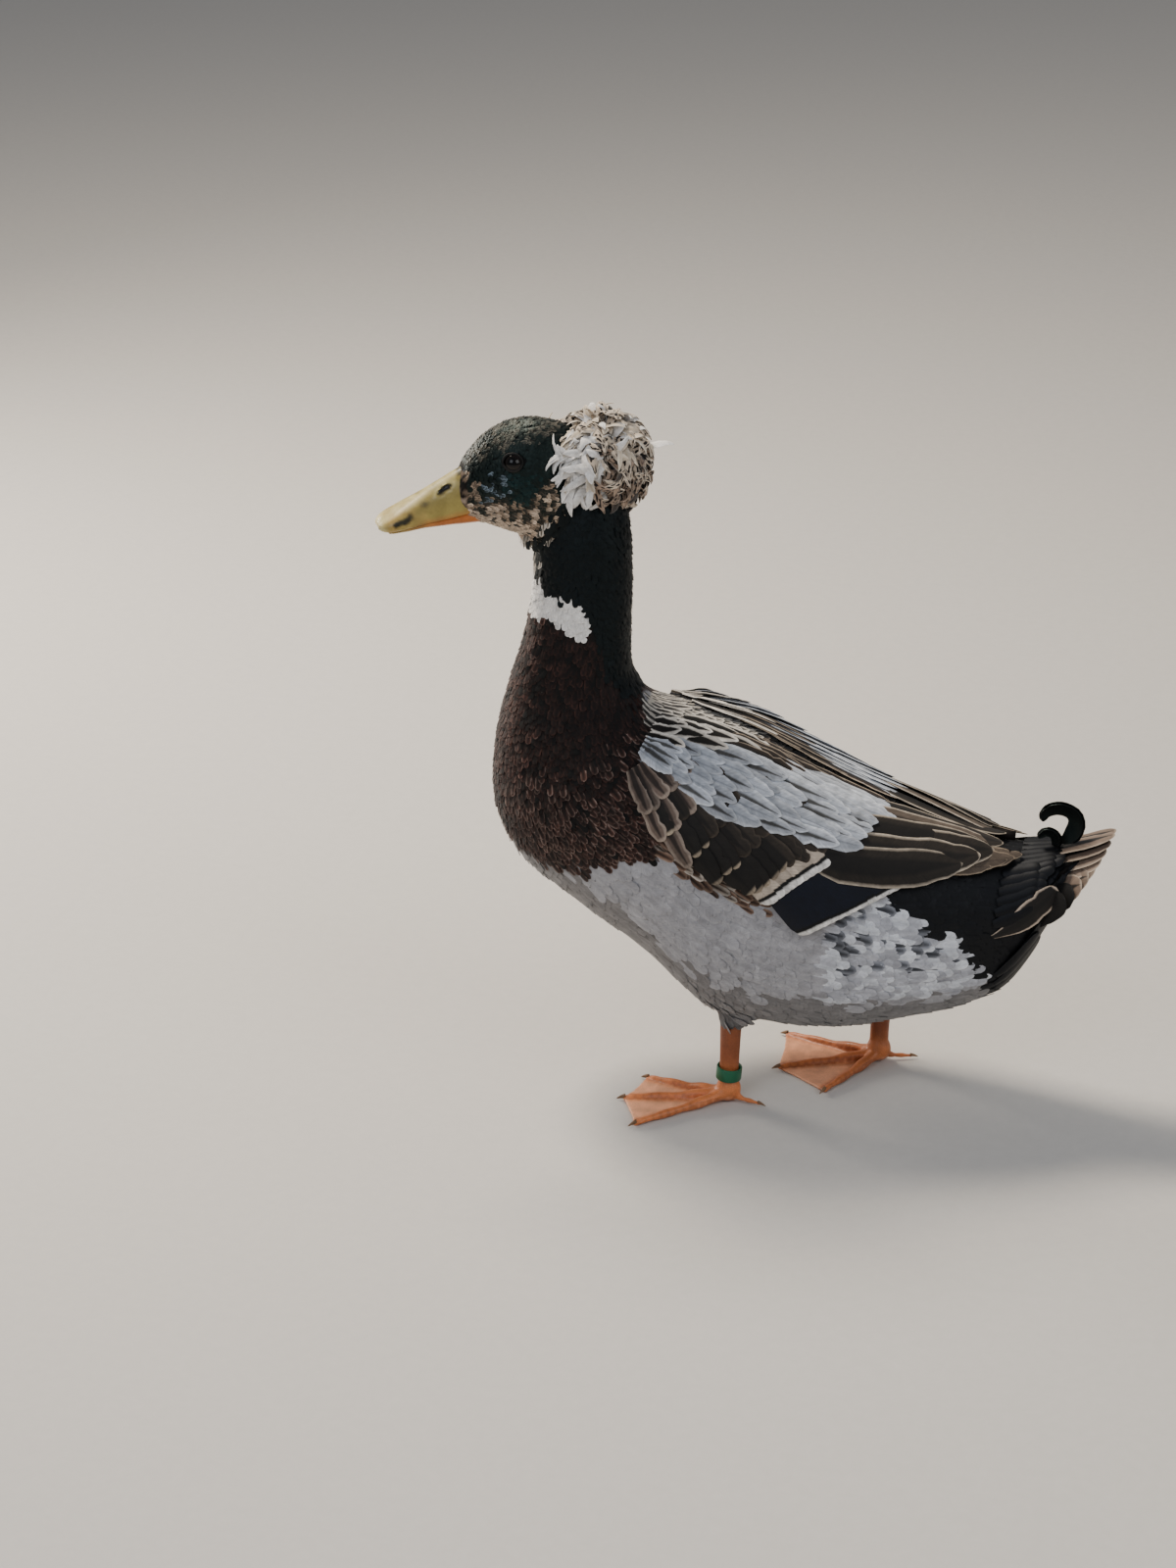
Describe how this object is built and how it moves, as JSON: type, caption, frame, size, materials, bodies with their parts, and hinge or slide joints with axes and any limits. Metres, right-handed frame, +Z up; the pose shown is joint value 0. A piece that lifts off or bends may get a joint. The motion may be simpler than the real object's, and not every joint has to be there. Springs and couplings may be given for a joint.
{
  "type": "crested duck",
  "caption": "Life-size still model of a standing crested drake duck with closed wings, a round crest and a ring on one leg.",
  "frame": {"origin": "middle of the bounding box, on the floor that the feet stand on", "axes": "+Z up, -X the way the body faces (the bill is turned 25 degrees to the bird's left), -Y the bird's left side, +Y its right side"},
  "size_m": [0.4292, 0.1632, 0.4227],
  "materials": {
    "body_feathers": "pale grey feathers, dull",
    "breast_feathers": "dark chestnut feathers with cream edges, dull",
    "head_feathers": "green-black feathers with a soft metallic sheen",
    "crest_feathers": "cream feathers with dark flecks, dull",
    "wing_feathers": "brown and grey feathers with pale edges and a blue patch",
    "tail_feathers": "taupe feathers with pale edges",
    "curled_feathers": "black feathers with a soft sheen",
    "bill_horn": "yellow-olive horn, half gloss",
    "bill_under": "orange horn, half gloss",
    "eye": "dark brown, wet gloss",
    "foot_skin": "orange scaly skin",
    "band_plastic": "green plastic, plain"
  },
  "bodies": {
    "root": {"torso": "body_feathers", "neck_lower": "breast_feathers", "neck_upper": "head_feathers", "head": "head_feathers", "crest": "crest_feathers", "eye_left": "eye", "eye_right": "eye", "bill_upper": "bill_horn", "bill_lower": "bill_under", "wing_left": "wing_feathers", "wing_right": "wing_feathers", "tail": "tail_feathers", "tail_curls": "curled_feathers", "thigh_left": "body_feathers", "thigh_right": "body_feathers", "shank_left": "foot_skin", "shank_right": "foot_skin", "foot_left": "foot_skin", "foot_right": "foot_skin", "leg_band": "band_plastic"}
  },
  "joints": []
}
